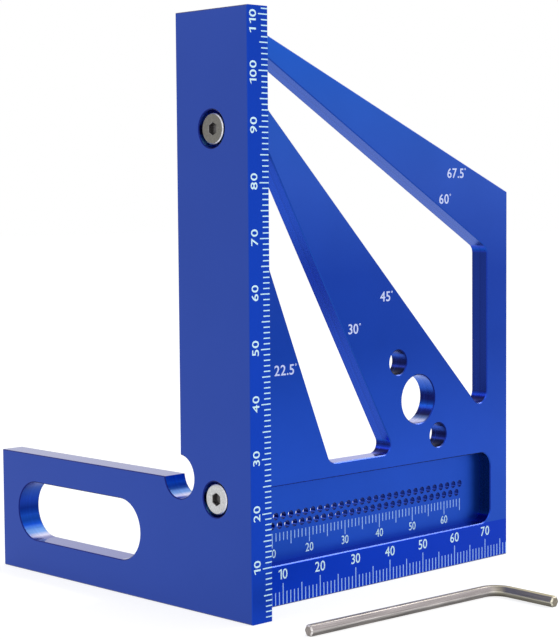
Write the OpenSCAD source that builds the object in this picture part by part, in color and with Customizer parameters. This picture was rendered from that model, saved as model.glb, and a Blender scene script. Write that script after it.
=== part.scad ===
// Adjustable set square: an L-shaped fence and a windowed scale plate, held square to it by two cap screws,
// with the hex key that fits them. Lengths are millimetres, angles are degrees.
// X = 0 is the fence's inner face, where the plate's scales start. Y = 0 is the middle plane of the plate.
// Z = 0 is the bottom that both plates stand on.

/* [Fence plate] */
// Height of the upright bar
fence_h = 111.5; // [105:0.5:130]
// Width of the upright bar, whose narrow edge carries the height scale
fence_w = 19.5; // [15:0.1:25]
// Thickness of the fence plate
fence_t = 5.2; // [4:0.1:7]
// Length of the foot, from the scaled edge of the bar to the foot's end
foot_l = 77.3; // [70:0.1:95]
// Height of the foot
foot_h = 24.7; // [20:0.1:30]
// Diameter of the relief hole that rounds out the inner corner
relief_d = 8.4; // [5:0.1:10]
// How far the relief hole's middle lies outside the inner corner, along both of its edges
relief_out = 0.4; // [0:0.1:1]
// Length of the finger slot in the foot, end to end
slot_l = 39.9; // [25:0.1:45]
// Height of the finger slot
slot_w = 12.1; // [9:0.1:14]
// Metal between the finger slot and the end of the foot
slot_margin = 5.6; // [3.5:0.1:9]
// Height of the finger slot's middle line above the bottom
slot_z = 12.8; // [11:0.1:13]

/* [Scale plate] */
// Reach of the plate from the fence, along its bottom scale
plate_w = 77.4; // [74:0.1:90]
// Height of the plate at the fence
plate_h = 110.3; // [106:0.1:125]
// Thickness of the plate
plate_t = 4.2; // [3.8:0.1:6]
// Width of the solid strip along the fence, which takes the screws
spine_w = 5.8; // [5.2:0.1:7]
// Width of the upright strip at the right end, beside the large window
column_w = 6.8; // [4.5:0.1:8]

/* [Angle edges] */
// Angle of the outer sloping edge, from the fence
outer_angle = 67.5; // [66:0.5:70]
// Angle of the large window's upper edge
upper_angle = 60; // [58:0.5:62]
// Angle of the large window's lower edge
lower_angle = 45; // [43:0.5:46]
// Angle of the small window's steep right edge
right_angle = 30; // [28:0.5:31]
// Angle of the small window's left edge
left_angle = 22.5; // [20:0.5:24]
// Depth of the top limb at the fence, between the outer edge and the large window
top_limb = 3; // [2:0.1:5]
// Opening of the large window at the fence
large_mouth = 6.4; // [4:0.1:8]
// Depth of the middle limb at the fence, between the two windows
mid_limb = 2.8; // [2:0.1:3.5]
// Opening of the small window at the fence
small_mouth = 16.6; // [14:0.1:20]
// Corner radius of the windows
window_r = 2; // [1:0.1:2.5]
// Radius at the foot of the large window's narrow end
narrow_r = 2.4; // [2:0.05:3]
// Corner radius of the windows' ends behind the fence edge
end_r = 0.8; // [0.5:0.1:1]

/* [Holes] */
// Diameter of the large round hole
large_hole_d = 10; // [8:0.1:11]
// Diameter of the two small round holes
small_hole_d = 5; // [4:0.1:6]
// Distance between the two small holes
small_hole_span = 20; // [18:0.1:21]
// Height of the large hole above the bottom
hole_z = 36.1; // [35:0.1:37]

/* [Scribing pocket] */
// Height of the scale strip under the pocket
strip_h = 7.8; // [6:0.1:8]
// Height of the pocket
pocket_h = 15.1; // [14:0.1:15.8]
// Depth of the pocket
pocket_depth = 2.9; // [2:0.05:3]
// Metal between the pocket and the fence
pocket_start = 4.5; // [4.4:0.1:6]
// Metal between the pocket and the plate's right edge
pocket_margin = 5.6; // [4:0.1:7]
// Corner radius of the pocket
pocket_r = 3; // [2:0.1:3.5]
// Metal between the pocket and the small window
rail_h = 2.8; // [2:0.1:4]
// Diameter of the pencil holes
pencil_d = 1.45; // [1:0.05:1.5]
// Distance between pencil holes in one row
pencil_pitch = 2; // [2:0.1:3]
// Distance from the fence to the first pencil hole of the lower row
pencil_start = 8; // [7:0.5:10]
// Height of the lower row above the pocket's lower wall
pencil_rise = 6.9; // [6:0.1:8]
// Height of the upper row above the lower one
pencil_row_gap = 1.8; // [1.7:0.05:2.5]
// Least room between the last pencil hole and the pocket's right wall
pencil_end_gap = 5.4; // [4:0.1:8]

/* [Screws and key] */
// Thread diameter of the cap screws
thread_d = 3; // [2.5:0.1:3.2]
// Length of a screw under its head
screw_l = 6; // [5:0.1:6.1]
// Diameter of a screw head
head_d = 5.7; // [5:0.1:6]
// Height of a screw head
head_h = 2; // [1.5:0.1:2.5]
// Depth of a head below the fence's outer face
head_sink = 0.25; // [0.1:0.05:0.6]
// Height of the lower screw
lower_screw_z = 21.9; // [20:0.1:23]
// Height of the upper screw
upper_screw_z = 89.9; // [80:0.1:95]
// Counterbore of the lower screw, a snug fit for its head
lower_bore_d = 6.7; // [6.2:0.1:7]
// Counterbore of the upper screw, wider, so that the plate can be trued
upper_bore_d = 7; // [6.6:0.1:8]
// Width across the flats of the key
key_af = 2; // [1.5:0.1:2.5]
// Length of the key's long arm, over the bend
key_long = 50; // [40:1:80]
// Length of the key's short arm, over the bend
key_short = 16; // [14:0.5:24]
// Bend radius of the key, on its middle line
key_bend_r = 3.5; // [2.5:0.1:5]
// Where the key's two arms meet, measured from the fence
key_x = 45.4; // [35:0.1:60]
// Where the key's two arms meet, measured from the plate's middle plane
key_y = -25; // [-40:0.1:-24]
// Angle between the key's long arm and the scale plate
key_turn = -3; // [-15:1:5]

/* [Edges and fits] */
// Width of the broken edges
edge_break = 0.2; // [0.1:0.05:0.4]
// Clearance round a screw in the fence, at the radius
hole_play = 0.1; // [0.05:0.01:0.1]
// Clearance round a screw in the plate, at the radius
thread_play = 0.03; // [0.02:0.01:0.08]
// Clearance past a screw's tip in the plate
tip_play = 0.25; // [0.1:0.05:0.5]

/* [Hidden] */
$fn = 96;

// How far a cut runs past the metal that it leaves
overrun = 1;
// How far the cone that breaks a hole's edge runs on down the hole
hole_run = 0.1;
// Clearance between the key's flats and a screw's socket, on each side
socket_play = 0.03;
// Depth of a screw's socket
socket_depth = 1.2;
// Depth of the drill cone at the bottom of the socket
socket_cone = 0.4;
// Broken edge round the top of a screw head
head_edge = 0.2;
// Taper at a screw's tip
tip_edge = 0.4;
// Broken edge round the ends of the key
key_edge = 0.25;

hexagon = 6;
blue = "#2350bb";
fence_blue = "#354ea0";
steel = "#a9a7a2";
key_steel = "#8d8a86";

// The pocket's edges, and where the windows start and end
pocket_top = strip_h + pocket_h;
pocket_end = plate_w - pocket_margin;
sill_z = pocket_top + rail_h;
column_x = plate_w - column_w;
tip_z = slope_z(plate_h, outer_angle, plate_w);

// Heights at which the angle edges would meet the fence
upper_z = plate_h - top_limb;
lower_z = upper_z - large_mouth;
right_z = lower_z - mid_limb;
left_z = right_z - small_mouth;

// How far a screw's seat and its tip lie from the fence's inner face
seat_x = -fence_t + head_sink + head_h;
tip_x = seat_x + screw_l;

pencil_count = floor((pocket_end - pencil_end_gap - pencil_start) / pencil_pitch);

// The round holes lie along the middle line of the middle limb, which widens from a point behind the fence
limb_x = mid_limb / (1 / tan(lower_angle) - 1 / tan(right_angle));
limb_z = slope_z(lower_z, lower_angle, limb_x);
holes_angle = (lower_angle + right_angle) / 2;
hole_x = limb_x + slope_x(limb_z, holes_angle, hole_z);

large_window = [
    [spine_w, slope_z(lower_z, lower_angle, spine_w)],
    [column_x, slope_z(lower_z, lower_angle, column_x)],
    [column_x, slope_z(upper_z, upper_angle, column_x)],
    [spine_w, slope_z(upper_z, upper_angle, spine_w)]
];
large_window_r = [end_r, narrow_r, window_r, end_r];

small_window = [
    [spine_w, slope_z(left_z, left_angle, spine_w)],
    [slope_x(left_z, left_angle, sill_z), sill_z],
    [slope_x(right_z, right_angle, sill_z), sill_z],
    [spine_w, slope_z(right_z, right_angle, spine_w)]
];
small_window_r = [end_r, window_r, window_r, end_r];

pocket = [
    [pocket_start, strip_h],
    [pocket_end, strip_h],
    [pocket_end, pocket_top],
    [pocket_start, pocket_top]
];
pocket_radii = [for (corner = pocket) pocket_r];

// Height at x of an edge that meets the fence at z0 and falls away from it at an angle, and the inverse
function slope_z(z0, angle, x) = z0 - x / tan(angle);
function slope_x(z0, angle, z) = (z0 - z) * tan(angle);

// Rounded outlines: p is a list of corners, anticlockwise, and r the radius at each one
function unit(v) = v / norm(v);
function back(p, i) = unit(p[(i + len(p) - 1) % len(p)] - p[i]);
function ahead(p, i) = unit(p[(i + 1) % len(p)] - p[i]);
function inward(p, i) = unit(back(p, i) + ahead(p, i));
function turn_of(v) = atan2(v.y, v.x);
function half_angle(p, i) = acos(back(p, i) * ahead(p, i)) / 2;
function round_start(p, r, i) = p[i] + back(p, i) * r[i] / tan(half_angle(p, i));
function round_end(p, r, i) = p[i] + ahead(p, i) * r[i] / tan(half_angle(p, i));
function round_centre(p, r, i) = p[i] + inward(p, i) * r[i] / sin(half_angle(p, i));

module rounded_shape(p, r) {
    polygon([for (i = [0 : len(p) - 1]) each [round_start(p, r, i), round_end(p, r, i)]]);
    for (i = [0 : len(p) - 1])
        translate(round_centre(p, r, i))
            rotate(turn_of(inward(p, i)))
                circle(r[i]);
}

// The corner that a broken edge takes off, between the points a and b, with the metal on the left.
// The plate's faces are at 0 and t, and past lengthens the cut at its two ends.
module edge_cut(a, b, t, past = [0, 0]) {
    length = norm(b - a);
    translate(a)
        rotate(turn_of(b - a))
            translate([-past[0], 0, 0])
                rotate([90, 0, 90])
                    linear_extrude(past[0] + length + past[1]) {
                        polygon([
                            [-overrun, t + overrun],
                            [-overrun, t - edge_break - overrun],
                            [edge_break + overrun, t + overrun]
                        ]);
                        polygon([
                            [-overrun, -overrun],
                            [edge_break + overrun, -overrun],
                            [-overrun, edge_break + overrun]
                        ]);
                    }
}

// A cone that breaks the edge of a hole of radius r at the face z = 0, with the metal above it.
// It runs a little way down the hole, so that its tip doesn't end on the hole's wall.
module edge_cone(r) {
    deep = edge_break + hole_run;
    translate([0, 0, -overrun])
        cylinder(h = overrun + deep, r1 = r + edge_break + overrun, r2 = r - hole_run);
}

// The broken edges round a hole of radius r, at both faces of a plate of thickness t
module round_edge_cut(r, t) {
    edge_cone(r);
    translate([0, 0, t])
        mirror([0, 0, 1])
            edge_cone(r);
}

// A round hole through a plate of thickness t
module round_hole(d, t) {
    translate([0, 0, -overrun])
        cylinder(h = t + 2 * overrun, d = d);
    round_edge_cut(d / 2, t);
}

// The broken edge round a rounded opening, at the face z = 0
module opening_edge_cut(p, r) {
    hull()
        for (i = [0 : len(p) - 1])
            translate(round_centre(p, r, i))
                rotate(turn_of(inward(p, i)))
                    edge_cone(r[i], $fn = 48);
}

// A rounded opening from the height floor_z through the face at t, with its edges broken
module opening(p, r, t, floor_z) {
    translate([0, 0, floor_z])
        linear_extrude(t + overrun - floor_z)
            rounded_shape(p, r);
    translate([0, 0, t])
        mirror([0, 0, 1])
            opening_edge_cut(p, r);
    if (floor_z < 0)
        opening_edge_cut(p, r);
}

// A long slot with round ends through a plate of thickness t, centred on the origin
module long_slot(l, w, t) {
    reach = (l - w) / 2;
    translate([0, 0, -overrun])
        linear_extrude(t + 2 * overrun) {
            square([2 * reach, w], center = true);
            for (side = [-1, 1])
                translate([side * reach, 0])
                    circle(d = w);
        }
    for (side = [-1, 1]) {
        edge_cut([-side * reach, side * w / 2], [side * reach, side * w / 2], t);
        translate([side * reach, 0, 0])
            round_edge_cut(w / 2, t);
    }
}

// The clearance hole and flat counterbore of a cap screw, from the outer face at 0
module screw_seat(bore_d) {
    shank_d = thread_d + 2 * hole_play;
    translate([0, 0, -overrun])
        cylinder(h = fence_t + 2 * overrun, d = shank_d);
    translate([0, 0, -overrun])
        cylinder(h = head_sink + head_h + overrun, d = bore_d);
    edge_cone(bore_d / 2);
}

// Drawn flat, with the scaled edge along x = 0 and the outer face at 0, then stood up
module fence_plate() {
    outline = [
        [0, 0],
        [foot_l, 0],
        [foot_l, foot_h],
        [fence_w, foot_h],
        [fence_w, fence_h],
        [0, fence_h]
    ];
    inner_corner = 3;
    color(fence_blue)
        translate([-fence_t, -fence_w / 2, 0])
            rotate([90, 0, 90])
                difference() {
                    linear_extrude(fence_t)
                        polygon(outline);
                    for (i = [0 : len(outline) - 1]) {
                        next = (i + 1) % len(outline);
                        past = [i == inner_corner ? 0 : overrun, next == inner_corner ? 0 : overrun];
                        edge_cut(outline[i], outline[next], fence_t, past);
                    }
                    translate(outline[inner_corner] + [relief_out, relief_out])
                        round_hole(relief_d, fence_t);
                    translate([foot_l - slot_margin - slot_l / 2, slot_z, 0])
                        long_slot(slot_l, slot_w, fence_t);
                    translate([fence_w / 2, lower_screw_z, 0])
                        screw_seat(lower_bore_d);
                    translate([fence_w / 2, upper_screw_z, 0])
                        screw_seat(upper_bore_d);
                }
}

// Two staggered rows of pencil holes through the pocket's floor, a hole for each millimetre of the scale
module pencil_holes() {
    floor_t = plate_t - pocket_depth;
    for (i = [0 : pencil_count - 1], row = [0, 1])
        translate([
            pencil_start + (i + row / 2) * pencil_pitch,
            strip_h + pencil_rise + row * pencil_row_gap,
            -overrun
        ])
            cylinder(h = floor_t + 2 * overrun, d = pencil_d);
}

// The hole in the plate's edge that a screw threads into
module thread_hole(z) {
    translate([-overrun, z, plate_t / 2])
        rotate([0, 90, 0])
            cylinder(h = tip_x + tip_play + overrun, d = thread_d + 2 * thread_play);
}

// Drawn flat, with the scaled front face at plate_t, then stood up
module scale_plate() {
    outline = [
        [0, 0],
        [plate_w, 0],
        [plate_w, tip_z],
        [0, plate_h]
    ];
    color(blue)
        translate([0, plate_t / 2, 0])
            rotate([90, 0, 0])
                difference() {
                    linear_extrude(plate_t)
                        polygon(outline);
                    for (i = [0 : len(outline) - 2])
                        edge_cut(outline[i], outline[i + 1], plate_t, [overrun, overrun]);
                    opening(large_window, large_window_r, plate_t, -overrun);
                    opening(small_window, small_window_r, plate_t, -overrun);
                    opening(pocket, pocket_radii, plate_t, plate_t - pocket_depth);
                    pencil_holes();
                    translate([hole_x, hole_z, 0]) {
                        round_hole(large_hole_d, plate_t);
                        for (side = [-1, 1])
                            rotate(holes_angle)
                                translate([0, side * small_hole_span / 2, 0])
                                    round_hole(small_hole_d, plate_t);
                    }
                    thread_hole(lower_screw_z);
                    thread_hole(upper_screw_z);
                }
}

// A low-head hexagon socket cap screw along +X, in its seat at height z
module cap_screw(z) {
    socket_af = key_af + 2 * socket_play;
    socket_d = socket_af / cos(180 / hexagon);
    color(steel)
        translate([seat_x - head_h, 0, z])
            rotate([0, 90, 0])
                difference() {
                    union() {
                        cylinder(h = head_edge, d1 = head_d - 2 * head_edge, d2 = head_d);
                        translate([0, 0, head_edge])
                            cylinder(h = head_h - head_edge, d = head_d);
                        cylinder(h = head_h + screw_l - tip_edge, d = thread_d);
                        translate([0, 0, head_h + screw_l - tip_edge])
                            cylinder(h = tip_edge, d1 = thread_d, d2 = thread_d - 2 * tip_edge);
                    }
                    translate([0, 0, -overrun])
                        cylinder(h = socket_depth + overrun, d = socket_d, $fn = hexagon);
                    translate([0, 0, socket_depth])
                        cylinder(h = socket_cone, d1 = key_af, d2 = 0);
                }
}

module upper_screw() {
    cap_screw(upper_screw_z);
}

module lower_screw() {
    cap_screw(lower_screw_z);
}

// One straight arm of the key along +Z, with the edges of its free end broken
module key_arm(run, bar_d) {
    intersection() {
        linear_extrude(run)
            circle(d = bar_d, $fn = hexagon);
        rotate_extrude()
            polygon([[0, 0], [bar_d, 0], [bar_d, run - key_edge], [bar_d / 2 - key_edge, run], [0, run]]);
    }
}

// The bar lies on one of its flats, and the two arms stand square to each other
module hex_key() {
    bar_d = key_af / cos(180 / hexagon);
    bend_to_outside = key_bend_r + key_af / 2;
    color(key_steel)
        translate([key_x, key_y, key_af / 2])
            rotate(key_turn)
                translate([-key_bend_r, -key_bend_r, 0]) {
                    rotate_extrude(angle = 90)
                        translate([key_bend_r, 0])
                            circle(d = bar_d, $fn = hexagon);
                    translate([0, key_bend_r, 0])
                        rotate([90, 0, -90])
                            key_arm(key_long - bend_to_outside, bar_d);
                    translate([key_bend_r, 0, 0])
                        rotate([90, 0, 0])
                            key_arm(key_short - bend_to_outside, bar_d);
                }
}

fence_plate();
scale_plate();
upper_screw();
lower_screw();
hex_key();
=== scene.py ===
# %% [markdown]
# # A blue set square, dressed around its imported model
#
# The object is a small woodworker's square in blue anodised aluminium. A fence plate stands on the left, a
# windowed scale plate is screwed square to it, and the hex key for the two screws lies in front.
#
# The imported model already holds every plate, hole and screw at its real size. This script adds what a saw
# and a mill don't give: the anodised finish, the white scales, the threads of the screws and the drawn
# steel of the key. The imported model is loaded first, and nothing here moves it. Lengths are metres, so a
# millimetre has a name.

import math

import bpy
from mathutils import Euler, Matrix, Vector


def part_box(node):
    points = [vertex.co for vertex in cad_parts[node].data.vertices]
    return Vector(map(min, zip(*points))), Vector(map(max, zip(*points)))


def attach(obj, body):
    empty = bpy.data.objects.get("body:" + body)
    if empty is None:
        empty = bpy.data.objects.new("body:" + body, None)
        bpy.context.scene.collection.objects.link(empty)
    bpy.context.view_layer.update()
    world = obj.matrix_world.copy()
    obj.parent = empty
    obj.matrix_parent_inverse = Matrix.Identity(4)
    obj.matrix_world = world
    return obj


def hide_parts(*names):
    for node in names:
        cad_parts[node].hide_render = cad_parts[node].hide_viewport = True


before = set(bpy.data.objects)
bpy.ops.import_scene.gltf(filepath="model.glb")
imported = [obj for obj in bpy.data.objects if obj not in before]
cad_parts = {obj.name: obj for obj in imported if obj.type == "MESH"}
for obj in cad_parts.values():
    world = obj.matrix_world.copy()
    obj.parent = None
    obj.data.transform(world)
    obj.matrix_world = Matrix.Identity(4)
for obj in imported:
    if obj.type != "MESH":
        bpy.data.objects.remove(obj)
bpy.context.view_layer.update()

MM = 0.001
fence_low, fence_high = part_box("fence_plate")
plate_low, plate_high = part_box("scale_plate")
key_low, key_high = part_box("hex_key")

print("nodes:", ", ".join(sorted(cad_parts)))
print("fence, mm:", [round(size / MM, 2) for size in fence_high - fence_low])
print("plate, mm:", [round(size / MM, 2) for size in plate_high - plate_low])

# %% [markdown]
# ## The camera
#
# The photograph was taken a little above the middle of the square, from the left of its scaled faces, with
# a long lens. The place and the angles below were solved from the scales on the object, whose ticks stand
# a millimetre apart. The picture is a little taller than it is wide, and Blender fits the sensor to the
# taller side.

# %% Camera
SENSOR_WIDTH = 36
LENS = 98.235
CAMERA_PLACE = Vector((-217.23, -238.24, 76.86)) * MM
YAW = math.radians(43.849)
PITCH = math.radians(3.925)
ROLL = math.radians(0.452)
CLIP_NEAR = 10 * MM
CLIP_FAR = 20


def add_camera():
    """A camera whose picture's right and down axes are turned by the roll."""
    ahead = Vector((math.sin(YAW) * math.cos(PITCH), math.cos(YAW) * math.cos(PITCH), -math.sin(PITCH)))
    level = Vector((math.cos(YAW), -math.sin(YAW), 0))
    down = ahead.cross(level)
    right = level * math.cos(ROLL) + down * math.sin(ROLL)
    down = down * math.cos(ROLL) - level * math.sin(ROLL)
    lens = bpy.data.cameras.new("camera")
    lens.sensor_width = SENSOR_WIDTH
    lens.lens = LENS
    lens.clip_start = CLIP_NEAR
    lens.clip_end = CLIP_FAR
    camera = bpy.data.objects.new("camera", lens)
    turn = Matrix((right, -down, -ahead)).transposed().to_4x4()
    camera.matrix_world = Matrix.Translation(CAMERA_PLACE) @ turn
    bpy.context.scene.collection.objects.link(camera)
    bpy.context.scene.camera = camera


add_camera()
print("camera to the origin, mm:", round(CAMERA_PLACE.length / MM))

# %% [markdown]
# ## Helpers for materials
#
# Paint charts and pictures give colours as sRGB hex values, and Blender's sockets want linear light, so
# one function turns the one into the other. A second function adds any node with its settings and its
# links, and the stops of its colour ramp if it has one, so that a material reads from top to bottom as a
# recipe. The others start and end a material, and measure what its patterns need.

# %% Colour and node helpers


def linear(hex_colour):
    """The linear RGBA value of an sRGB colour such as '#2350bb'."""
    shares = [int(hex_colour[i:i + 2], 16) / 255 for i in (1, 3, 5)]
    return tuple(s / 12.92 if s <= 0.04045 else ((s + 0.055) / 1.055) ** 2.4 for s in shares) + (1,)


def add(tree, kind, inputs=None, stops=(), **settings):
    """Adds a node. inputs gives each socket, by name or number, a value or the output that feeds it. stops
    is for a colour ramp: its (place, colour) pairs, spread over the ramp from the first to the last."""
    made = tree.nodes.new(kind)
    for name, value in settings.items():
        setattr(made, name, value)
    for name, value in (inputs or {}).items():
        if isinstance(value, bpy.types.NodeSocket):
            tree.links.new(value, made.inputs[name])
        else:
            made.inputs[name].default_value = value
    for _ in stops[2:]:
        made.color_ramp.elements.new(0.5)
    for number, (place, hex_colour) in enumerate(stops):
        made.color_ramp.elements[number].position = (place - stops[0][0]) / (stops[-1][0] - stops[0][0])
        made.color_ramp.elements[number].color = linear(hex_colour)
    return made


WHITE = linear("#ffffff")
print("white is", WHITE)

# %% Material helpers


def start_material(name):
    """An empty node material, with the object coordinates that its patterns are laid out on."""
    material = bpy.data.materials.new(name)
    material.use_nodes = True
    tree = material.node_tree
    tree.nodes.clear()
    place = add(tree, "ShaderNodeTexCoord").outputs["Object"]
    return material, tree, place


def finish_material(tree, shader_inputs, bump=None):
    """Ends a material with the one shader that it needs."""
    shader = add(tree, "ShaderNodeBsdfPrincipled", shader_inputs)
    if bump:
        tree.links.new(bump, shader.inputs["Normal"])
    add(tree, "ShaderNodeOutputMaterial", {"Surface": shader.outputs["BSDF"]})


def normal_tilt(tree):
    """How far the surface's normal points up, from -1 to 1."""
    normal = add(tree, "ShaderNodeTexCoord").outputs["Normal"]
    return add(tree, "ShaderNodeSeparateXYZ", {0: normal}).outputs["Z"]


def per_size(millimetres):
    """The scale of a noise whose features are about this many millimetres wide."""
    return 1 / (millimetres * MM)


print("a noise whose features are 1 mm wide has a scale of", round(per_size(1)))

# %% [markdown]
# ## Bead-blasted, anodised aluminium
#
# Both plates are cut from aluminium, blasted with fine beads and anodised blue. The dye sits in a thin
# clear layer of oxide on the metal, so the surface is a coloured metal and not a paint: it has no grey
# gloss over the colour, and at a low angle it turns pale, because any metal mirrors what stands behind it
# there.
#
# A metallic Principled shader does just that. Its colour is the dye's, and the satin of the blasting is a
# roughness near 0.4 with a very fine bump. The grit of the beads is about 0.1 mm, too fine to show at this
# size, so it is drawn at 0.35 mm.
#
# The walls are as the milling cutter left them. Its faint lines run round them at a constant depth, which
# is a noise of one dimension: the depth itself. Real ones are finer than the grit, so they too are drawn
# coarser, at 0.7 mm. The walls that face straight up are given the smoothest finish, and they mirror the
# pale room.

# %% Sizes of the blasted and milled patterns
# These three are in millimetres.
GRIT = 0.35
CLOUD = 14
MILL_LINE = 0.7

# A noise seldom leaves this range.
NOISE_LOW = 0.3
NOISE_HIGH = 0.7

GRIT_STRENGTH = 0.05
GRIT_RELIEF = 0.05 * MM
MILL_CHANGE = 0.1
FACE_ROUGHNESS = 0.38
LEVEL_WALL_ROUGHNESS = 0.12
LEVEL_WALL_TILT = 0.95
ROUGHNESS_SPREAD = 0.08

print("grit drawn at", GRIT, "mm, clouds at", CLOUD, "mm, mill lines at", MILL_LINE, "mm")

# %% Tell a plate's faces from its edges and walls
# How far from a face a point still counts as on it, and the width of the broken edges.
SKIN = 0.02 * MM
BROKEN_EDGE = 0.2 * MM


def plate_regions(tree, depth, low, high):
    """Masks for a plate whose faces lie at two depths: 1 off the faces, and 1 past their broken edges."""
    from_low = add(tree, "ShaderNodeMath", {0: depth, 1: low}, operation="SUBTRACT").outputs[0]
    from_high = add(tree, "ShaderNodeMath", {0: high, 1: depth}, operation="SUBTRACT").outputs[0]
    inset = add(tree, "ShaderNodeMath", {0: from_low, 1: from_high}, operation="MINIMUM").outputs[0]
    off_face = add(tree, "ShaderNodeMath", {0: inset, 1: SKIN}, operation="GREATER_THAN").outputs[0]
    wall = add(tree, "ShaderNodeMath", {
        0: inset, 1: BROKEN_EDGE + SKIN
    }, operation="GREATER_THAN").outputs[0]
    return off_face, wall


print("broken edges are", round(BROKEN_EDGE / MM, 2), "mm wide")

# %% Blasted metal


def blasted_metal(tree, place, depth, colour, wall, clouding, wall_roughness):
    """Gives a colour soft clouds and the beads' grit on the faces, and the cutter's lines on the walls."""
    clouds = add(tree, "ShaderNodeTexNoise", {"Vector": place, "Scale": per_size(CLOUD), "Detail": 3.0})
    lines = add(tree, "ShaderNodeTexNoise", {
        "W": depth, "Scale": per_size(MILL_LINE), "Detail": 2.0
    }, noise_dimensions="1D")
    shades = []
    for noise, change in ((clouds, clouding), (lines, MILL_CHANGE)):
        shades.append(add(tree, "ShaderNodeMapRange", {
            0: noise.outputs[0], 1: NOISE_LOW, 2: NOISE_HIGH, 3: 1 - change, 4: 1 + change
        }).outputs[0])
    shade = add(tree, "ShaderNodeMix", {0: wall, 2: shades[0], 3: shades[1]}).outputs[0]
    toned = add(tree, "ShaderNodeMix", {
        0: 1.0, 6: colour, 7: shade
    }, data_type="RGBA", blend_type="MULTIPLY").outputs[2]
    grit = add(tree, "ShaderNodeTexNoise", {
        "Vector": place, "Scale": per_size(GRIT), "Detail": 2.0
    }).outputs[0]
    level = add(tree, "ShaderNodeMapRange", {
        0: normal_tilt(tree), 1: LEVEL_WALL_TILT, 3: wall_roughness, 4: LEVEL_WALL_ROUGHNESS
    }).outputs[0]
    satin = add(tree, "ShaderNodeMix", {0: wall, 2: FACE_ROUGHNESS, 3: level}).outputs[0]
    uneven = add(tree, "ShaderNodeMath", {
        0: grit, 1: ROUGHNESS_SPREAD, 2: -ROUGHNESS_SPREAD / 2
    }, operation="MULTIPLY_ADD").outputs[0]
    gloss = add(tree, "ShaderNodeMath", {0: satin, 1: uneven}, operation="ADD").outputs[0]
    bump = add(tree, "ShaderNodeBump", {"Height": grit, "Strength": GRIT_STRENGTH, "Distance": GRIT_RELIEF})
    finish_material(tree, {"Base Color": toned, "Metallic": 1.0, "Roughness": gloss}, bump.outputs[0])


print("a face's roughness is", FACE_ROUGHNESS, "and a level wall's is", LEVEL_WALL_ROUGHNESS)

# %% [markdown]
# ## What the walls mirror
#
# A milled wall is a dull mirror. On the real square an upright wall mirrors the dark side of the room and
# looks navy, one that leans back mirrors a lamp and looks azure, and a level one mirrors the ceiling and
# looks pale lavender. The studio here is white all round, so that the colours stay true, and it has
# nothing dark to mirror. The tones are given to the walls instead, by their tilt: how far a wall's normal
# points down (-1) or up (1).
#
# A level wall gets a deep blue, because it is always seen at a low angle, where the metal's own reflection
# of the pale room adds the white. A round hole mirrors its own far side, so it has tones of its own, and
# so do the broken edges.

# %% Tones by tilt, and one colour over another


def tones_over(tree, value, tones):
    """The colour that a table of tones gives for a value."""
    share = add(tree, "ShaderNodeMapRange", {0: value, 1: tones[0][0], 2: tones[-1][0]}).outputs[0]
    return add(tree, "ShaderNodeValToRGB", {0: share}, stops=tones).outputs[0]


def painted(tree, colour, layers):
    """A colour with others laid over it in turn. Each layer is (mask, colour), seen where its mask is 1."""
    for mask, over in layers:
        colour = add(tree, "ShaderNodeMix", {0: mask, 6: colour, 7: over}, data_type="RGBA").outputs[2]
    return colour


print("a wall that leans back by 30 degrees has a tilt of", round(math.sin(math.radians(30)), 2))

# %% Tones of the fence's walls
fence_wall_tones = (
    (-1.0, "#5a6cb4"),
    (-0.7, "#2450a8"),
    (-0.25, "#1c44b0"),
    (0.03, "#163c9a"),
    (0.14, "#1a50b4"),
    (0.28, "#2464d0"),
    (0.45, "#0e409a"),
    (0.6, "#04338c"),
    (0.72, "#355a98"),
    (0.85, "#7ba4e2"),
    (0.94, "#e6e4fc"),
    (1.0, "#2c3ca0"),
)

relief_hole_tones = (
    (-1.0, "#2450a8"),
    (0.0, "#1f4da2"),
    (0.2, "#1e74e0"),
    (0.42, "#1c78e6"),
    (0.55, "#0a4cb4"),
    (0.68, "#1c4c98"),
    (0.85, "#7ba4e2"),
    (0.94, "#e6e4fc"),
    (1.0, "#5c60b8"),
)

counterbore_tones = (
    (-1.0, "#2c50b0"),
    (-0.75, "#4c88ff"),
    (-0.4, "#4c80ff"),
    (-0.15, "#16246c"),
    (0.2, "#142468"),
    (0.45, "#2f80f0"),
    (0.7, "#80d0ff"),
    (0.9, "#3c78e0"),
    (1.0, "#203080"),
)

print(len(fence_wall_tones), "tones on the fence's walls and", len(relief_hole_tones), "in its relief hole")

# %% Tones of the scale plate's walls
plate_wall_tones = (
    (-1.0, "#1030b8"),
    (-0.87, "#0048ae"),
    (-0.7, "#2244bc"),
    (-0.35, "#1148b0"),
    (-0.12, "#1c3090"),
    (0.0, "#1a2e7a"),
    (0.1, "#182268"),
    (0.22, "#122a8c"),
    (0.34, "#122c90"),
    (0.48, "#0c1e7c"),
    (0.64, "#131450"),
    (0.8, "#161c60"),
    (0.9, "#1e2c8c"),
    (0.97, "#3c4cc8"),
    (1.0, "#3c4cc8"),
)

large_hole_tones = (
    (-1.0, "#6a8ad8"),
    (-0.7, "#3e68c8"),
    (-0.35, "#2450b4"),
    (-0.1, "#151f66"),
    (0.12, "#11195a"),
    (0.35, "#103c96"),
    (0.52, "#0e1c66"),
    (0.72, "#10164c"),
    (0.84, "#5c74b0"),
    (0.93, "#c4c8ee"),
    (1.0, "#a8a4e0"),
)

small_hole_tones = (
    (-1.0, "#1a2c66"),
    (-0.5, "#2850b8"),
    (-0.1, "#151d58"),
    (0.1, "#11184c"),
    (0.4, "#111f64"),
    (0.6, "#0d143c"),
    (1.0, "#0d143c"),
)

print(len(plate_wall_tones), "tones on the plate's walls and", len(large_hole_tones), "in its large hole")

# %% Tones of the scale plate's broken edges
plate_rim_tones = (
    (-0.72, "#0b1c62"),
    (-0.64, "#2048a8"),
    (-0.2, "#2048a8"),
    (0.0, "#1c3494"),
    (0.655, "#2244ae"),
    (0.7, "#46599b"),
    (0.72, "#46599b"),
)

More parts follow.
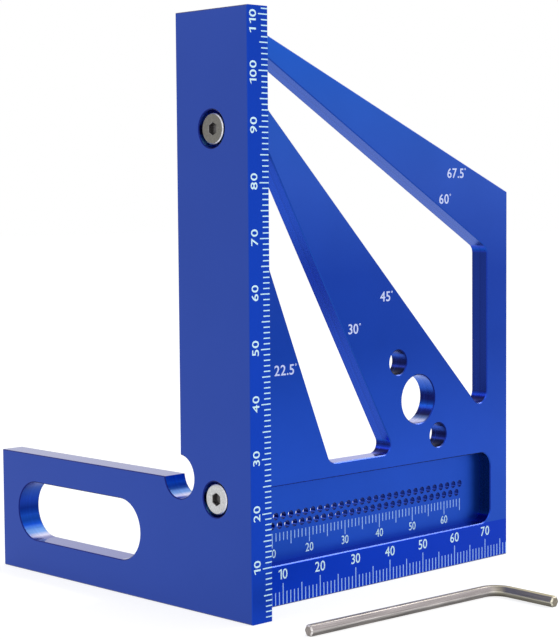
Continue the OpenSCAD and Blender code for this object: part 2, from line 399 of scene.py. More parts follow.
hole_rim_tones = (
    (-0.72, "#14246c"),
    (0.0, "#121e66"),
    (0.5, "#142878"),
    (0.72, "#46599b"),
)

print(len(plate_rim_tones), "tones on the plate's edges and", len(hole_rim_tones), "on those of its holes")

# %% [markdown]
# ## The fence's blues
#
# The broad faces are blasted, and their duller, greyer blue is painted shade, because they face the dim
# side of the room; the narrow edge that carries the height scale is a deep blue. The regions are told apart
# by where a point lies. The broken edges, 0.2 mm wide, show as a thin navy line round the broad face, a
# painted dark reflection, apart from the corner beside the scale, where one blue runs over into the other.
# The relief hole in the inner corner and the counterbores of the screws are round regions with their own
# tones.

# %% Anodised fence
# The broad face's blue is a painted shade, and the broken edges' navy is a painted dark reflection.
SHADED_BROAD_BLUE = "#2e489e"
SCALE_EDGE_BLUE = "#103eb3"
FENCE_RIM_SHADE_NAVY = "#1b2672"
FENCE_CLOUDING = 0.015
FENCE_WALL_ROUGHNESS = 0.42
RELIEF_MIDDLE = Vector((0, 10.15, 25.1)) * MM
RELIEF_RADIUS = 4.2 * MM
COUNTERBORE_REACH = 3.6 * MM


def within(tree, place, middle, reach):
    """1 where a point lies nearer than reach to the line along X that runs through the middle."""
    moved = add(tree, "ShaderNodeVectorMath", {0: place, 1: middle}, operation="SUBTRACT").outputs[0]
    flat = add(tree, "ShaderNodeVectorMath", {0: moved, 1: (0, 1, 1)}, operation="MULTIPLY").outputs[0]
    distance = add(tree, "ShaderNodeVectorMath", {0: flat}, operation="LENGTH").outputs["Value"]
    return add(tree, "ShaderNodeMath", {0: distance, 1: reach}, operation="LESS_THAN").outputs[0]


def blasted_anodised_fence():
    """The fence's metal, painted from its broad face to its broken edges, walls and scaled edge."""
    material, tree, place = start_material("anodised_aluminium_blasted_fence")
    parts = add(tree, "ShaderNodeSeparateXYZ", {0: place}).outputs
    off_face, wall = plate_regions(tree, parts["X"], fence_low.x, fence_high.x)
    beside_scale = add(tree, "ShaderNodeMath", {
        0: parts["Y"], 1: fence_low.y + BROKEN_EDGE + SKIN
    }, operation="LESS_THAN").outputs[0]
    rim = add(tree, "ShaderNodeMath", {0: off_face, 1: beside_scale}, operation="GREATER_THAN").outputs[0]
    scale_edge = add(tree, "ShaderNodeMapRange", {
        0: parts["Y"], 1: fence_low.y + SKIN, 2: fence_low.y + BROKEN_EDGE, 3: 1.0, 4: 0.0
    }).outputs[0]
    milled = add(tree, "ShaderNodeMath", {
        0: wall, 1: scale_edge
    }, operation="SUBTRACT", use_clamp=True).outputs[0]

    tilt = normal_tilt(tree)
    in_relief = within(tree, place, RELIEF_MIDDLE, RELIEF_RADIUS + SKIN)
    round_regions = [(in_relief, tones_over(tree, tilt, relief_hole_tones))]
    for screw in ("upper_screw", "lower_screw"):
        low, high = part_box(screw)
        in_counterbore = within(tree, place, (low + high) / 2, COUNTERBORE_REACH)
        round_regions.append((in_counterbore, tones_over(tree, tilt, counterbore_tones)))
    wall_colour = painted(tree, tones_over(tree, tilt, fence_wall_tones), round_regions)
    colour = painted(tree, linear(SHADED_BROAD_BLUE), [
        (rim, linear(FENCE_RIM_SHADE_NAVY)),
        (wall, wall_colour),
        (scale_edge, linear(SCALE_EDGE_BLUE)),
    ])
    blasted_metal(tree, place, parts["X"], colour, milled, FENCE_CLOUDING, FENCE_WALL_ROUGHNESS)
    return material


fence_finish = blasted_anodised_fence()
print(fence_finish.name, "has", len(fence_finish.node_tree.nodes), "nodes")

# %% [markdown]
# ## The scale plate's blues
#
# The plate's face is more azure at the top, a little darker in the middle and lighter again below: this is
# painted light and shade. The strip under the pocket that carries the bottom scale is deeper. A colour ramp
# up the plate says the gradient. The pocket's upright walls and the pencil holes shade each other, so each
# has one navy of its own, as a painted shade. The three round holes lie on one sloping line, and they are
# found by turning that line upright.

# %% Where the plate's pocket and holes are
POCKET_DEPTH = 2.9 * MM
POCKET_MIDDLE = Vector((38, 0, 15.5)) * MM
POCKET_HALF_LENGTH = 34.5 * MM
POCKET_HALF_HEIGHT = 8.5 * MM
UPRIGHT_TILT_LIMIT = 0.5
HOLES_MIDDLE = Vector((48.83, 0, 36.1)) * MM
HOLES_ANGLE = math.radians(37.5)
HOLES_HALF_WIDTH = 5.5 * MM
HOLES_HALF_LENGTH = 13 * MM
SMALL_HOLES_START = 7 * MM


def hole_masks(tree, place):
    """1 in the three round holes, and 1 past where the two small ones start, along the line of the holes."""
    moved = add(tree, "ShaderNodeVectorMath", {0: place, 1: HOLES_MIDDLE}, operation="SUBTRACT").outputs[0]
    turned = add(tree, "ShaderNodeVectorRotate", {
        "Vector": moved, "Axis": (0, 1, 0), "Angle": HOLES_ANGLE
    }).outputs[0]
    apart = add(tree, "ShaderNodeVectorMath", {0: turned}, operation="ABSOLUTE").outputs[0]
    parts = add(tree, "ShaderNodeSeparateXYZ", {0: apart}).outputs
    across = add(tree, "ShaderNodeMath", {
        0: parts["X"], 1: HOLES_HALF_WIDTH
    }, operation="LESS_THAN").outputs[0]
    along = add(tree, "ShaderNodeMath", {
        0: parts["Z"], 1: HOLES_HALF_LENGTH
    }, operation="LESS_THAN").outputs[0]
    inside = add(tree, "ShaderNodeMath", {0: across, 1: along}, operation="MULTIPLY").outputs[0]
    small = add(tree, "ShaderNodeMath", {
        0: parts["Z"], 1: SMALL_HOLES_START
    }, operation="GREATER_THAN").outputs[0]
    return inside, small


def pocket_masks(tree, parts, tilt):
    """1 on the pocket's upright walls, and 1 in the pencil holes, which lie past its floor."""
    along = add(tree, "ShaderNodeMath", {
        0: parts["X"], 1: POCKET_MIDDLE.x, 2: POCKET_HALF_LENGTH
    }, operation="COMPARE").outputs[0]
    up = add(tree, "ShaderNodeMath", {
        0: parts["Z"], 1: POCKET_MIDDLE.z, 2: POCKET_HALF_HEIGHT
    }, operation="COMPARE").outputs[0]
    inside = add(tree, "ShaderNodeMath", {0: along, 1: up}, operation="MULTIPLY").outputs[0]
    steep = add(tree, "ShaderNodeMath", {0: tilt, 1: UPRIGHT_TILT_LIMIT}, operation="LESS_THAN").outputs[0]
    wall = add(tree, "ShaderNodeMath", {0: inside, 1: steep}, operation="MULTIPLY").outputs[0]
    past_floor = add(tree, "ShaderNodeMath", {
        0: parts["Y"], 1: plate_low.y + POCKET_DEPTH + SKIN
    }, operation="GREATER_THAN").outputs[0]
    pencil_hole = add(tree, "ShaderNodeMath", {0: inside, 1: past_floor}, operation="MULTIPLY").outputs[0]
    return wall, pencil_hole


print("the pocket's floor is at y =", round((plate_low.y + POCKET_DEPTH) / MM, 2), "mm")

# %% The scale plate's own blues
STRIP_HEIGHT = 7.8 * MM
STRIP_BLUE = "#0034b4"
# Painted shade: the navy of the pocket's upright walls and of the pencil holes, which shade each other.
POCKET_WALL_SHADE_NAVY = "#284f64"
PENCIL_HOLE_SHADE_NAVY = "#182c78"
PLATE_CLOUDING = 0.035
PLATE_WALL_ROUGHNESS = 0.28

# The face's painted light and shade, as tones by the height in millimetres.
face_light_tones = (
    (0, "#1c4ab2"),
    (25, "#1e4ab6"),
    (48, "#123b9f"),
    (62, "#173da2"),
    (80, "#2b51b4"),
    (95, "#2857ba"),
    (108, "#205bc8"),
)

print("the strip of the bottom scale is", round(STRIP_HEIGHT / MM, 2), "mm high")

# %% Anodised scale plate


def blasted_anodised_plate():
    """The plate's metal, painted from its face to its strip, broken edges, walls, pocket and holes."""
    material, tree, place = start_material("anodised_aluminium_blasted_plate")
    parts = add(tree, "ShaderNodeSeparateXYZ", {0: place}).outputs
    off_face, deep = plate_regions(tree, parts["Y"], plate_low.y, plate_high.y)
    floor = add(tree, "ShaderNodeMath", {
        0: parts["Y"], 1: plate_low.y + POCKET_DEPTH, 2: SKIN
    }, operation="COMPARE").outputs[0]
    wall = add(tree, "ShaderNodeMath", {0: deep, 1: floor}, operation="SUBTRACT").outputs[0]
    rim = add(tree, "ShaderNodeMath", {0: off_face, 1: deep}, operation="SUBTRACT").outputs[0]
    height = add(tree, "ShaderNodeMath", {0: parts["Z"], 1: 1 / MM}, operation="MULTIPLY").outputs[0]
    front = add(tree, "ShaderNodeMath", {
        0: parts["Y"], 1: plate_low.y + SKIN
    }, operation="LESS_THAN").outputs[0]
    low = add(tree, "ShaderNodeMath", {0: parts["Z"], 1: STRIP_HEIGHT}, operation="LESS_THAN").outputs[0]
    strip = add(tree, "ShaderNodeMath", {0: front, 1: low}, operation="MULTIPLY").outputs[0]

    tilt = normal_tilt(tree)
    in_hole, in_small_hole = hole_masks(tree, place)
    pocket_wall, pencil_hole = pocket_masks(tree, parts, tilt)
    rim_colour = painted(tree, tones_over(tree, tilt, plate_rim_tones), [
        (in_hole, tones_over(tree, tilt, hole_rim_tones)),
    ])
    hole_colour = painted(tree, tones_over(tree, tilt, large_hole_tones), [
        (in_small_hole, tones_over(tree, tilt, small_hole_tones)),
    ])
    wall_colour = painted(tree, tones_over(tree, tilt, plate_wall_tones), [
        (in_hole, hole_colour),
        (pocket_wall, linear(POCKET_WALL_SHADE_NAVY)),
        (pencil_hole, linear(PENCIL_HOLE_SHADE_NAVY)),
    ])
    colour = painted(tree, tones_over(tree, height, face_light_tones), [
        (strip, linear(STRIP_BLUE)),
        (rim, rim_colour),
        (wall, wall_colour),
    ])
    blasted_metal(tree, place, parts["Y"], colour, wall, PLATE_CLOUDING, PLATE_WALL_ROUGHNESS)
    return material


plate_finish = blasted_anodised_plate()
print(plate_finish.name, "has", len(plate_finish.node_tree.nodes), "nodes")

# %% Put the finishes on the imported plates
for node_name, finish in (("fence_plate", fence_finish), ("scale_plate", plate_finish)):
    node_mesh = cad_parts[node_name].data
    node_mesh.materials.clear()
    node_mesh.materials.append(finish)
    print(node_name, "wears", finish.name)

# %% [markdown]
# ## Laser-etched marks
#
# The scales and figures are burnt through the blue dye by a laser, which leaves a matt white. A diffuse,
# rough surface is enough. The dots of the laser show as a faint unevenness. They are less than 0.1 mm
# apart, too fine to show, so they are drawn at 0.15 mm. The marks aren't equally white: the figures are the
# whitest and the plate's ticks the bluest, so each kind of mark has a white of its own.

# %% Etched white
LASER_DOT = 0.15
DOT_SHADE = 0.93
MARK_ROUGHNESS = 0.8


def mottled(tree, colour, noise, dark, light, low=NOISE_LOW, high=NOISE_HIGH):
    """A colour that a noise darkens where its value is low and lightens where it is high."""
    shade = add(tree, "ShaderNodeMapRange", {0: noise, 1: low, 2: high, 3: dark, 4: light}).outputs[0]
    return add(tree, "ShaderNodeMix", {
        0: 1.0, 6: colour, 7: shade
    }, data_type="RGBA", blend_type="MULTIPLY").outputs[2]


def etched_white(name, hex_colour):
    """The matt white of marks, with the faint dots of the laser."""
    material, tree, place = start_material(name)
    dots = add(tree, "ShaderNodeTexNoise", {"Vector": place, "Scale": per_size(LASER_DOT), "Detail": 1.0})
    colour = mottled(tree, linear(hex_colour), dots.outputs[0], DOT_SHADE, 1.0)
    finish_material(tree, {"Base Color": colour, "Roughness": MARK_ROUGHNESS})
    return material


tick_white = etched_white("etched_white_ticks", "#c8f0ff")
fine_tick_white = etched_white("etched_white_fine_ticks", "#a0c6ff")
figure_white = etched_white("etched_white_figures", "#d4f6ff")
label_white = etched_white("etched_white_labels", "#ccd8ff")
print("laser dots drawn at", LASER_DOT, "mm")

# %% [markdown]
# ## The ticks of the scales
#
# A scale is one short line repeated every millimetre, with a longer one at each five and the longest at
# each ten. It could be drawn by hand or by a loop that adds boxes, but a Geometry Nodes tree says the rule
# itself: points in a line, a length that follows from each point's number, and a thin bar set on each
# point. One tree serves all three scales, because its sizes are inputs.
#
# The lines are 0.04 mm thick, half of it sunk in the metal, so that they have an edge of their own and
# never flicker with the face. On the fence each line also turns over the broken edge of the corner that it
# starts from, and on the plate's bottom scale the lines start where that edge ends.

# %% The inputs of a scale's tree
scale_inputs = (
    ("First", "NodeSocketInt"),
    ("Count", "NodeSocketInt"),
    ("Pitch", "NodeSocketFloat"),
    ("Short", "NodeSocketFloat"),
    ("Middle", "NodeSocketFloat"),
    ("Long", "NodeSocketFloat"),
    ("Width", "NodeSocketFloat"),
    ("Thickness", "NodeSocketFloat"),
    ("Edge", "NodeSocketFloat"),
    ("Turned over", "NodeSocketBool"),
    ("Hanging", "NodeSocketFloat"),
    ("Material", "NodeSocketMaterial"),
)


def new_tree(name, inputs):
    """A Geometry Nodes tree with named inputs; gives the tree and its input node's sockets by name."""
    tree = bpy.data.node_groups.new(name, "GeometryNodeTree")
    tree.is_modifier = True
    for label, kind in inputs:
        tree.interface.new_socket(name=label, in_out="INPUT", socket_type=kind)
    tree.interface.new_socket(name="Geometry", in_out="OUTPUT", socket_type="NodeSocketGeometry")
    return tree, add(tree, "NodeGroupInput").outputs


print("a scale's tree has", len(scale_inputs), "inputs")

# %% The tree that makes a scale


def every(tree, number, step):
    """True where a whole number is a multiple of step."""
    rest = add(tree, "FunctionNodeIntegerMath", {0: number, 1: step}, operation="MODULO").outputs[0]
    return add(tree, "FunctionNodeCompare", {2: rest, 3: 0}, data_type="INT", operation="EQUAL").outputs[0]


def scale_tree():
    """Ticks along +X that rise along +Y, on the face z = 0."""
    tree, given = new_tree("millimetre_scale", scale_inputs)

    # A point for each tick, and the length that its number gives it.
    first_x = add(tree, "ShaderNodeMath", {
        0: given["First"], 1: given["Pitch"]
    }, operation="MULTIPLY").outputs[0]
    start = add(tree, "ShaderNodeCombineXYZ", {0: first_x}).outputs[0]
    step = add(tree, "ShaderNodeCombineXYZ", {0: given["Pitch"]}).outputs[0]
    line = add(tree, "GeometryNodeMeshLine", {
        "Count": given["Count"], "Start Location": start, "Offset": step
    }).outputs[0]
    index = add(tree, "GeometryNodeInputIndex").outputs[0]
    number = add(tree, "FunctionNodeIntegerMath", {
        0: index, 1: given["First"]
    }, operation="ADD").outputs[0]
    fives = every(tree, number, 5)
    tens = every(tree, number, 10)
    lower = add(tree, "GeometryNodeSwitch", {
        0: fives, 1: given["Short"], 2: given["Middle"]
    }, input_type="FLOAT").outputs[0]
    full = add(tree, "GeometryNodeSwitch", {
        0: tens, 1: lower, 2: given["Long"]
    }, input_type="FLOAT").outputs[0]
    length = add(tree, "ShaderNodeMath", {0: full, 1: given["Edge"]}, operation="SUBTRACT").outputs[0]

    # A bar on each point, which stands on the point or hangs from it.
    unit_bar = add(tree, "GeometryNodeMeshCube", {"Size": (1, 1, 1)}).outputs["Mesh"]
    bar = add(tree, "GeometryNodeTransform", {"Geometry": unit_bar, "Translation": (0, 0.5, 0)}).outputs[0]
    drop = add(tree, "ShaderNodeMath", {0: given["Hanging"], 1: full}, operation="MULTIPLY").outputs[0]
    foot_y = add(tree, "ShaderNodeMath", {0: given["Edge"], 1: drop}, operation="SUBTRACT").outputs[0]
    foot = add(tree, "ShaderNodeCombineXYZ", {1: foot_y}).outputs[0]
    feet = add(tree, "GeometryNodeSetPosition", {"Geometry": line, "Offset": foot}).outputs[0]
    size = add(tree, "ShaderNodeCombineXYZ", {
        0: given["Width"], 1: length, 2: given["Thickness"]
    }).outputs[0]
    upright = add(tree, "GeometryNodeInstanceOnPoints", {"Points": feet, "Instance": bar, "Scale": size})

    # A lip that slopes down the broken edge.
    half_edge = add(tree, "ShaderNodeMath", {0: given["Edge"], 1: 0.5}, operation="MULTIPLY").outputs[0]
    half_down = add(tree, "ShaderNodeMath", {0: given["Edge"], 1: -0.5}, operation="MULTIPLY").outputs[0]
    slope = add(tree, "ShaderNodeMath", {0: given["Edge"], 1: math.sqrt(2)}, operation="MULTIPLY").outputs[0]
    middle_of_edge = add(tree, "ShaderNodeCombineXYZ", {1: half_edge, 2: half_down}).outputs[0]
    edges = add(tree, "GeometryNodeSetPosition", {
        "Geometry": line, "Offset": middle_of_edge
    }).outputs[0]
    lip_size = add(tree, "ShaderNodeCombineXYZ", {
        0: given["Width"], 1: slope, 2: given["Thickness"]
    }).outputs[0]
    lip = add(tree, "GeometryNodeInstanceOnPoints", {
        "Points": edges, "Instance": unit_bar, "Scale": lip_size, "Rotation": Euler((math.radians(45), 0, 0))
    }).outputs[0]
    lips = add(tree, "GeometryNodeSwitch", {0: given["Turned over"], 2: lip}, input_type="GEOMETRY")

    # Both together, as real faces with their finish.
    both = add(tree, "GeometryNodeJoinGeometry")
    tree.links.new(upright.outputs[0], both.inputs[0])
    tree.links.new(lips.outputs[0], both.inputs[0])
    real = add(tree, "GeometryNodeRealizeInstances", {0: both.outputs[0]}).outputs[0]
    worn = add(tree, "GeometryNodeSetMaterial", {"Geometry": real, "Material": given["Material"]}).outputs[0]
    add(tree, "NodeGroupOutput", {0: worn})
    return tree


millimetre_scale = scale_tree()
print("the scale's tree has", len(millimetre_scale.nodes), "nodes")

# %% A tree's result as a plain mesh


def bake_tree(name, tree, settings, placing):
    """Runs a tree once with these settings and keeps the result as a plain mesh, set in its place."""
    piece = bpy.data.objects.new(name, bpy.data.meshes.new(name))
    bpy.context.scene.collection.objects.link(piece)
    modifier = piece.modifiers.new("tree", "NODES")
    modifier.node_group = tree
    for socket in tree.interface.items_tree:
        if socket.in_out == "INPUT":
            modifier[socket.identifier] = settings[socket.name]
    depsgraph = bpy.context.evaluated_depsgraph_get()
    mesh = bpy.data.meshes.new_from_object(piece.evaluated_get(depsgraph))
    piece.modifiers.clear()
    mesh.transform(placing)
    mesh.name = name
    piece.data = mesh
    return piece


# %% [markdown]
# ## Three scales, each on its own face
#
# A scale is made flat and then laid on its face by a matrix. The matrix's columns say where the scale's
# own axes point: along the scale, up a tick, and out of the metal. All three faces look along -Y. The
# height scale runs up the fence's narrow edge with its ticks pointing left, the bottom scale runs along
# the plate with its ticks standing on the edge, and the pocket's scale hangs from a line below the pencil
# holes.

# %% Lay the scales on their faces
UP = Vector((0, 0, 1))
LEFT = Vector((-1, 0, 0))
RIGHT = Vector((1, 0, 0))


def laid(along, rise, origin):
    """The matrix that lays a flat drawing on a face: its x runs along, its y rises, and its z points out."""
    turn = Matrix((along, rise, along.cross(rise))).transposed().to_4x4()
    return Matrix.Translation(origin) @ turn


fence_face = laid(UP, LEFT, Vector((fence_high.x, fence_low.y, fence_low.z)))
bottom_face = laid(RIGHT, UP, Vector((fence_high.x, plate_low.y, plate_low.z)))
pocket_face = laid(RIGHT, UP, Vector((fence_high.x, plate_low.y + POCKET_DEPTH, plate_low.z)))
print("the scales' faces lie at y, mm:", [
    round(face.translation.y / MM, 2) for face in (fence_face, bottom_face, pocket_face)
])

# %% Add the three scales
# The short, the middle and the long tick of each scale, and the ticks' widths, in millimetres.
FENCE_TICKS = (1.75, 2.2, 2.45)
BOTTOM_TICKS = (2.65, 3.7, 4.25)
POCKET_TICKS = (1.6, 2.5, 2.8)
FINE_WIDTH = 0.22
BOTTOM_WIDTH = 0.23

MARK_THICKNESS = 0.04 * MM
POCKET_SCALE_TOP = 13.3 * MM
FIRST_IN_POCKET = 6
LAST_IN_POCKET = 65


def add_scale(name, body, placing, last, lengths, width, finish, first=1, turned_over=False, hanging=False,
              edge=0.0):
    """One scale as a plain mesh that rides on its body, with the ticks from first to last."""
    short, middle, full = lengths
    piece = bake_tree(name, millimetre_scale, {
        "First": first,
        "Count": last - first + 1,
        "Pitch": 1 * MM,
        "Short": short * MM,
        "Middle": middle * MM,
        "Long": full * MM,
        "Width": width * MM,
        "Thickness": MARK_THICKNESS,
        "Edge": edge,
        "Turned over": turned_over,
        "Hanging": float(hanging),
        "Material": finish,
    }, placing)
    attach(piece, body)
    print(name, "ends at", last, "and has", len(piece.data.polygons), "faces")


last_up_fence = math.floor((fence_high.z - fence_low.z) / MM)
last_on_plate = math.floor((plate_high.x - fence_high.x) / MM)
hung_from = pocket_face @ Matrix.Translation((0, POCKET_SCALE_TOP, 0))
add_scale("fence_scale_ticks", "fence", fence_face, last_up_fence, FENCE_TICKS, FINE_WIDTH, tick_white,
          turned_over=True, edge=BROKEN_EDGE)
add_scale("bottom_scale_ticks", "scale", bottom_face, last_on_plate, BOTTOM_TICKS, BOTTOM_WIDTH,
          fine_tick_white, edge=BROKEN_EDGE)
add_scale("pocket_scale_ticks", "scale", hung_from, LAST_IN_POCKET, POCKET_TICKS, FINE_WIDTH,
          fine_tick_white, first=FIRST_IN_POCKET, hanging=True)

# %% [markdown]
# ## Figures
#
# The figures come from Blender's built-in typeface, apart from the 1: there it is a bare stroke, and the
# real one has a flag, so it is drawn here as an outline of seven points. A text object is a flat curve. It
# is given the thickness of a mark, turned into a mesh, and only then scaled and laid on its face. Words
# are set figure by figure, because the fence's figures are wide and open and the plate's are narrow.

# %% Draw a 1 with a flag
# All of these are shares of the figure's height.
ONE_WEIGHT = 0.15
ONE_STEM_LEFT = 0.27
FLAG_TIP_HEIGHT = 0.84
FLAG_ROOT_HEIGHT = 0.97

# And these are shares of its weight, the width of its stem.
PEAK_SHARE = 0.2
FLAG_TIP_SHARE = 0.8
FLAG_ROOT_SHARE = 0.85


def own_one(weight):
    """The outline of a 1 that is one unit high: its stem, and a flag whose tip is at the top left."""
    right = ONE_STEM_LEFT + weight
    peak = ONE_STEM_LEFT + PEAK_SHARE * weight
    flag_tip_foot = FLAG_TIP_HEIGHT - FLAG_TIP_SHARE * weight
    flag_root_foot = FLAG_ROOT_HEIGHT - FLAG_ROOT_SHARE * weight
    return [
        (ONE_STEM_LEFT, 0), (right, 0), (right, 1), (peak, 1),
        (0, FLAG_TIP_HEIGHT), (0, flag_tip_foot), (ONE_STEM_LEFT, flag_root_foot),
    ]


def flat_prism(outline, thickness):
    """A closed mesh from a flat outline whose points run anticlockwise."""
    count = len(outline)
    points = [(x, y, z) for z in (-thickness / 2, thickness / 2) for x, y in outline]
    sides = [(i, (i + 1) % count, count + (i + 1) % count, count + i) for i in range(count)]
    mesh = bpy.data.meshes.new("figure")
    mesh.from_pydata(points, [], [tuple(reversed(range(count))), tuple(range(count, 2 * count))] + sides)
    return mesh


print("a 1 has", len(own_one(ONE_WEIGHT)), "corners, and its stem is", ONE_WEIGHT, "of its height wide")

# %% Draw one figure
# A figure's share of the typeface's size, and how much smaller the degree sign is drawn.
FIGURE_SHARE = 0.7
DEGREE_SHARE = 0.52
CURVE_STEPS = 3


def typeface_mesh(letter, boldness, thickness):
    """One letter of the built-in typeface as a closed mesh, with its figures one unit high."""
    curve = bpy.data.curves.new("figure", "FONT")
    curve.body = letter
    curve.size = 1 / FIGURE_SHARE
    curve.resolution_u = CURVE_STEPS
    curve.offset = boldness
    curve.extrude = thickness / 2
    shown = bpy.data.objects.new("figure", curve)
    bpy.context.scene.collection.objects.link(shown)
    mesh = bpy.data.meshes.new_from_object(shown.evaluated_get(bpy.context.evaluated_depsgraph_get()))
    bpy.data.objects.remove(shown)
    bpy.data.curves.remove(curve)
    return mesh


def figure(letter, boldness, thickness):
    """A letter whose left side is at x = 0, and its width."""
    if letter == "1":
        mesh = flat_prism(own_one(ONE_WEIGHT + boldness), thickness)
    else:
        mesh = typeface_mesh(letter, boldness, thickness)
    if letter == "°":
        top = Matrix.Translation((0, 1, 0))
        mesh.transform(top @ Matrix.Diagonal((DEGREE_SHARE, DEGREE_SHARE, 1, 1)) @ top.inverted())
    left = min(vertex.co.x for vertex in mesh.vertices)
    mesh.transform(Matrix.Translation((-left, 0, 0)))
    return mesh, max(vertex.co.x for vertex in mesh.vertices)


print("a degree sign is drawn at", DEGREE_SHARE, "of the typeface's own")

# %% [markdown]
# ## Words on a face
#
# A word is made from its figures at unit height, with a gap between them, and then scaled to its real
# height and width. All the words of one face are joined to one mesh, so that each scale has one piece for
# its figures.

# %% Letter a face


def set_word(word, height, stretch, gap, boldness, pitch=None):
    """The points and faces of a word on a flat sheet, and its width."""
    points, faces = [], []
    pen = 0
    thickness = MARK_THICKNESS / height
    for letter in word:
        mesh, width = figure(letter, boldness, thickness)
        start = pen if pitch is None else pen + pitch - gap - width
        base = len(points)
        corners = [vertex.co for vertex in mesh.vertices]
        points += [Vector(((start + p.x) * stretch, p.y, p.z)) * height for p in corners]
        faces += [[base + corner for corner in face.vertices] for face in mesh.polygons]
        pen += width + gap if pitch is None else pitch
        bpy.data.meshes.remove(mesh)
    return points, faces, (pen - gap) * height * stretch


def letter_face(name, body, placing, words, finish, height, stretch, gap, boldness, pitch=None):
    """Joins words to one mesh on a face. Each is (word, x, y, share of its width that lies left of x)."""
    points, faces = [], []
    for word, x, y, share in words:
        word_points, word_faces, width = set_word(word, height, stretch, gap, boldness, pitch)
        place = placing @ Matrix.Translation((x - width * share, y, 0))
        base = len(points)
        points += [place @ point for point in word_points]
        faces += [[base + corner for corner in face] for face in word_faces]
    mesh = bpy.data.meshes.new(name)
    mesh.from_pydata(points, [], faces)
    mesh.materials.append(finish)
    piece = bpy.data.objects.new(name, mesh)
    bpy.context.scene.collection.objects.link(piece)
    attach(piece, body)
    print(name, "has", len(words), "words and", len(faces), "faces; the last is", round(width / MM, 2), "mm")


print("marks are", round(MARK_THICKNESS / MM, 2), "mm thick, half of it in the metal")

# %% [markdown]
# ## Number the scales and label the angles
#
# The fence's figures lie on their side, beside the longest ticks, and the last number is moved down so
# that it ends below the fence's top. Those of the plate stand above or hang below their ticks. The angle
# of each sloping edge is written beside it, in a slightly duller white.

# %% Scale figures
FENCE_BASELINE = 3.0 * MM
BOTTOM_BASELINE = 5.05 * MM
POCKET_BASELINE = 8.62 * MM
FENCE_WORD_RISE = 1.7 * MM
TOP_MARGIN = 0.8 * MM

# The share of a word's width that lies left of its place.
CENTRED = 0.5
ENDS_THERE = 1

highest_end = fence_high.z - TOP_MARGIN
fence_words = []
for n in range(10, last_up_fence + 1, 10):
    fence_words.append((str(n), min(n * MM + FENCE_WORD_RISE, highest_end), FENCE_BASELINE, ENDS_THERE))
letter_face("fence_scale_figures", "fence", fence_face, fence_words, figure_white,
            height=1.62 * MM, stretch=1.26, gap=0.12, boldness=0.012, pitch=0.79)

bottom_words = [(str(n), n * MM, BOTTOM_BASELINE, CENTRED) for n in range(10, last_on_plate + 1, 10)]
letter_face("bottom_scale_figures", "scale", bottom_face, bottom_words, figure_white,
            height=1.95 * MM, stretch=1.02, gap=0.1, boldness=0.008)

pocket_words = [(str(n), n * MM, POCKET_BASELINE, CENTRED) for n in range(10, LAST_IN_POCKET + 1, 10)]
letter_face("pocket_scale_figures", "scale", pocket_face, pocket_words, figure_white,
            height=1.65 * MM, stretch=0.93, gap=0.1, boldness=0.006)

# %% Angle labels
# Each label's word, and the middle of its foot in millimetres from the fence's inner face and the bottom.
angle_places = (
    ("67.5°", 60.8, 81.2),
    ("60°", 57.15, 75.9),
    ("45°", 39.25, 56.6),
    ("30°", 30.0, 50.6),
    ("22.5°", 11.1, 43.9),
)
angle_words = [(word, x * MM, z * MM, CENTRED) for word, x, z in angle_places]
letter_face("angle_labels", "scale", bottom_face, angle_words, label_white,
            height=1.95 * MM, stretch=1.08, gap=0.12, boldness=0.016)

# %% [markdown]
# ## Plain steel
#
# The two screws are turned steel with a thin plating, and the key is drawn steel, so both are grey metals.
# What tells them apart is the grain: rings and specks on a turned head, long lines on a drawn bar. Each is
# a noise laid along the tool's path. The real rings and lines are a few hundredths of a millimetre apart,
# too fine to show, so the rings are drawn at 0.12 mm and the lines at 0.3 mm.
#
# A screw's head is dull on its face and bright on its chamfer, a painted highlight, and its socket is a
# plain grey, a painted shade in the recess. The key's level facet is light and its sloping facets are
# greyer, the lower ones most of all, as painted shade, and its drawn corners are bright lines, as painted
# highlights. As with the plates' walls, a tilt gives these tones.

# %% Turned steel
# The patterns' sizes, in millimetres.
LATHE_RING = 0.12
SPECK = 0.35

# Painted light: the chamfer's bright highlight, and the socket's grey shade.
CHAMFER_HIGHLIGHT_STEEL = "#dcdce4"
SOCKET_SHADE_STEEL = "#868484"
HEAD_EDGE = 0.2 * MM
SOCKET_FLATS = 2.06 * MM
SOCKET_REACH_SHARE = 0.64
SPECK_DARK = 0.8
SPECK_LIGHT = 1.14
TURNED_STRENGTH = 0.12
TURNED_ROUGHNESS = 0.36
STEEL_RELIEF = 0.02 * MM


